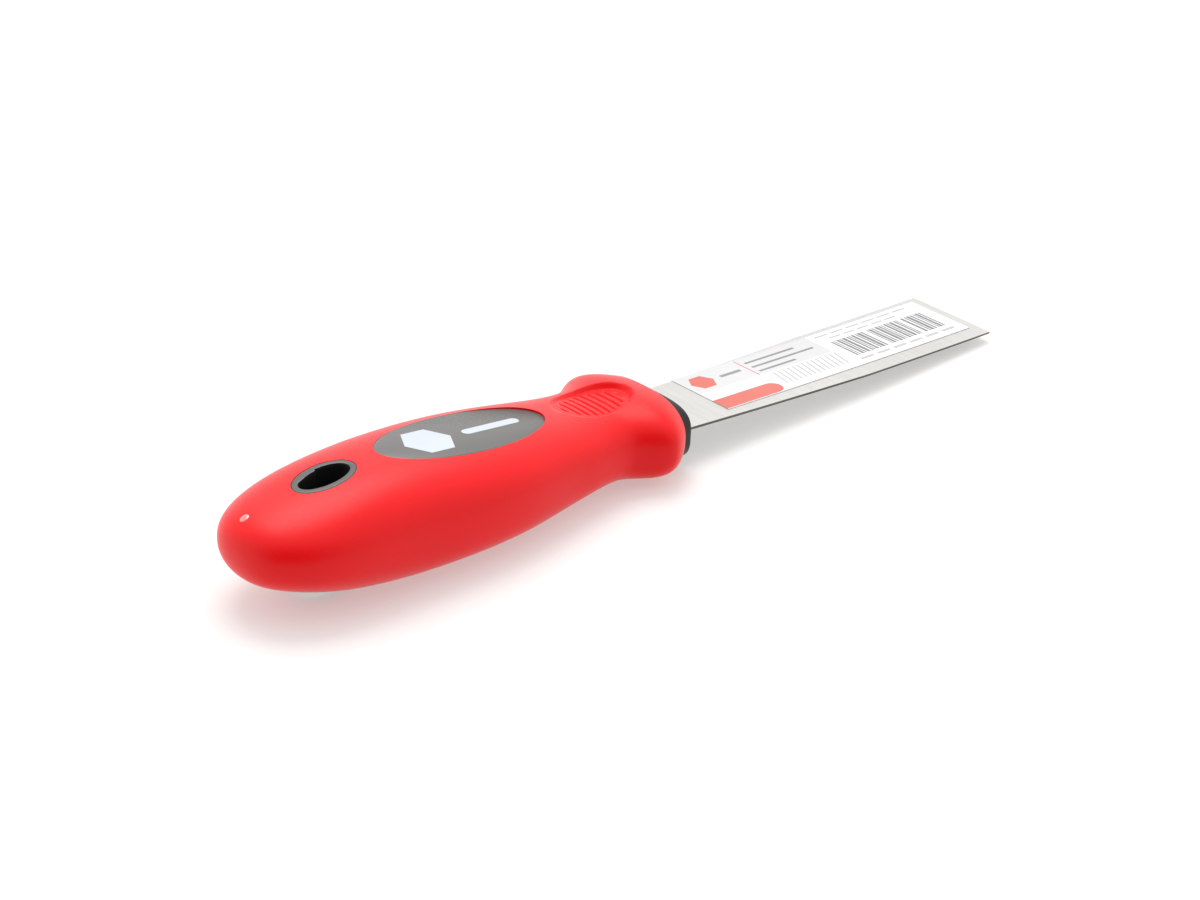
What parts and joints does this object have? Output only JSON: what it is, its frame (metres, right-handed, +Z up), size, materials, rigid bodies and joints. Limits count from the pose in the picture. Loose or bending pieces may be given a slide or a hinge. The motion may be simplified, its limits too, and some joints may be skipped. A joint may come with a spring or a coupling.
{
  "type": "putty knife",
  "caption": "Narrow square-ended stainless scraper blade in a soft two-component handle with thumb rests and an oval hang hole.",
  "frame": {"origin": "under the middle of the tool's bounding box, on the surface that it lies on", "axes": "+X along the tool towards the blade's edge, +Z up through its thickness, +Y to the left of the blade"},
  "size_m": [0.2112, 0.0385, 0.0258],
  "materials": {
    "blade_steel": "satin, finely brushed across the blade",
    "label_film": "smooth printed label, silver grey with a white block",
    "collar_plastic": "glossy black",
    "core_plastic": "as moulded, black",
    "pin_steel": "drawn",
    "grip_rubber": "satin red soft-touch skin",
    "bush_plastic": "satin dark grey",
    "badge_plastic": "satin dark grey, with a plain white printed mark"
  },
  "bodies": {
    "root": {"blade": "blade_steel", "blade_label": "label_film", "collar": "collar_plastic", "core_upper": "core_plastic", "core_lower": "core_plastic", "tang_pins": "pin_steel", "soft_grip": "grip_rubber", "hang_hole_bush": "bush_plastic", "badge": "badge_plastic"}
  },
  "joints": []
}
